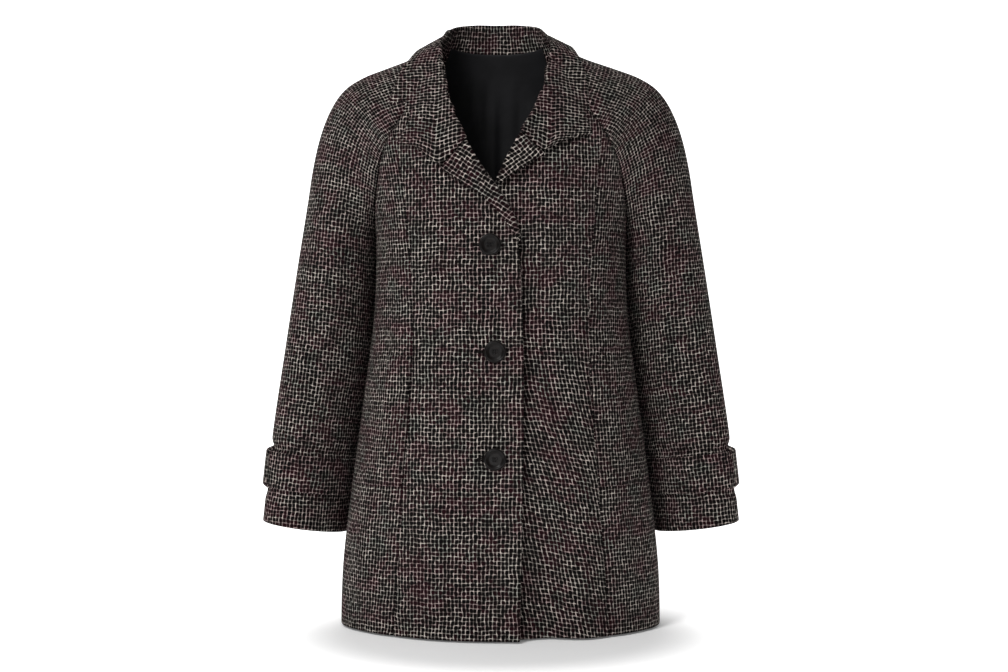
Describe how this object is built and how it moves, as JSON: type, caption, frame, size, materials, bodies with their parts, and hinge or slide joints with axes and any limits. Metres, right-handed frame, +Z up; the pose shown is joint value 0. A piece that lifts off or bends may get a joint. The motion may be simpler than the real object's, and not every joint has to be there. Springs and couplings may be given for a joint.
{
  "type": "overcoat",
  "caption": "Single-breasted tweed overcoat with raglan sleeves, turned-down collar and short lapels, welt pockets, strapped cuffs and a dark lining, filled out as if worn.",
  "frame": {"origin": "the middle of the neck at the height where the shoulders begin, where the coat is held", "axes": "+Z up, the front faces -Y, +X to the viewer's right"},
  "size_m": [0.649, 0.3357, 0.8252],
  "materials": {
    "tweed": "open woven wool in black, ivory and burgundy, matte",
    "lining": "near-black satin, soft sheen",
    "button": "dark brown-black, dull polish"
  },
  "bodies": {
    "root": {"back": "tweed", "front_right": "tweed", "front_left": "tweed", "side_front_right": "tweed", "side_front_left": "tweed", "sleeve_right": "tweed", "sleeve_left": "tweed", "collar": "tweed", "pocket_welt_right": "tweed", "pocket_welt_left": "tweed", "cuff_strap_right": "tweed", "cuff_strap_left": "tweed", "strap_loop_right": "tweed", "strap_loop_left": "tweed", "lining_back": "lining", "button_top": "button", "button_middle": "button", "button_bottom": "button"}
  },
  "joints": []
}
